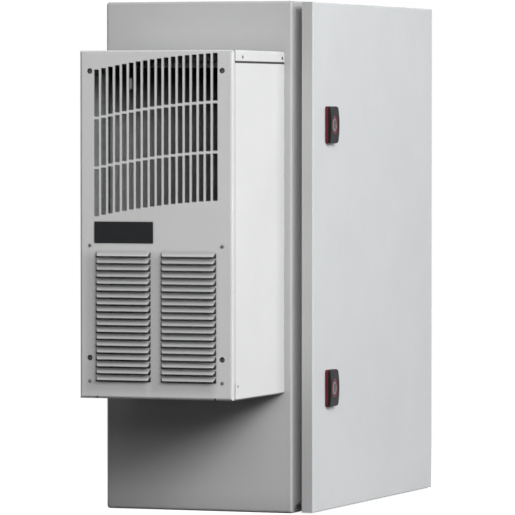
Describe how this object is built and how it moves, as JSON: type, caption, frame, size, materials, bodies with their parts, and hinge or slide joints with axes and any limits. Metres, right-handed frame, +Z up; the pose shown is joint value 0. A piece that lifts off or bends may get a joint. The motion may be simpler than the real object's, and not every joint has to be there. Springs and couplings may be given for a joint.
{
  "type": "electrical enclosure with side-mounted cooling unit",
  "caption": "Floor-level sheet-metal electrical enclosure with a hinged, latched door and a slotted, louvred cooling unit mounted on its side wall.",
  "frame": {"origin": "centre of the enclosure's footprint, on the underside of its bottom panel", "axes": "+Z up; +X out through the door; -Y out of the cooling unit's front cover"},
  "size_m": [0.4775, 1.0855, 1.067],
  "materials": {
    "enclosure_paint": "light grey textured powder coat",
    "door_paint": "light grey textured powder coat",
    "unit_paint": "light grey smooth powder coat",
    "galvanised": "galvanised sheet",
    "dark_inner": "black insulated sheet",
    "coil_fins": "dark coated fins",
    "plate_black": "black plate, bare",
    "foam_black": "closed-cell foam",
    "zinc_steel": "zinc plated",
    "latch_red": "moulded red",
    "latch_black": "moulded black",
    "lock_metal": "die-cast, dull",
    "insert_metal": "dark die-cast"
  },
  "bodies": {
    "enclosure": {"back_panel": "enclosure_paint", "top_panel": "enclosure_paint", "bottom_panel": "enclosure_paint", "unit_side_wall": "enclosure_paint", "far_side_wall": "enclosure_paint", "rim_top": "enclosure_paint", "rim_bottom": "enclosure_paint", "rim_unit_side": "enclosure_paint", "rim_hinge_side": "enclosure_paint", "hinge_body_leaves": "zinc_steel", "unit_front_cover": "unit_paint", "unit_top_lid": "unit_paint", "unit_left_side": "unit_paint", "unit_right_side": "unit_paint", "unit_base_pan": "unit_paint", "unit_back_panel": "galvanised", "unit_bulkhead": "dark_inner", "condenser_coil": "coil_fins", "name_plate": "plate_black"},
    "door": {"door_panel": "door_paint", "door_gasket": "foam_black", "hinge_door_leaves": "zinc_steel", "upper_latch_base": "latch_red", "upper_latch_cap": "latch_black", "upper_lock_body": "lock_metal", "lower_latch_base": "latch_red", "lower_latch_cap": "latch_black", "lower_lock_body": "lock_metal", "lock_nuts": "zinc_steel"},
    "upper_lock": {"upper_lock_insert": "insert_metal", "upper_lock_cam": "zinc_steel"},
    "lower_lock": {"lower_lock_insert": "insert_metal", "lower_lock_cam": "zinc_steel"}
  },
  "joints": [
    {"name": "door_hinge", "type": "hinge", "parent": "enclosure", "child": "door", "pos_m": [0.2027, 0.382, 0.5335], "axis": [0, 0, 1], "range_deg": [0, 120]},
    {"name": "upper_lock_turn", "type": "hinge", "parent": "door", "child": "upper_lock", "pos_m": [0.2316, -0.289, 0.8091], "axis": [-1, 0, 0], "range_deg": [0, 90]},
    {"name": "lower_lock_turn", "type": "hinge", "parent": "door", "child": "lower_lock", "pos_m": [0.2316, -0.289, 0.2579], "axis": [-1, 0, 0], "range_deg": [0, 90]}
  ]
}
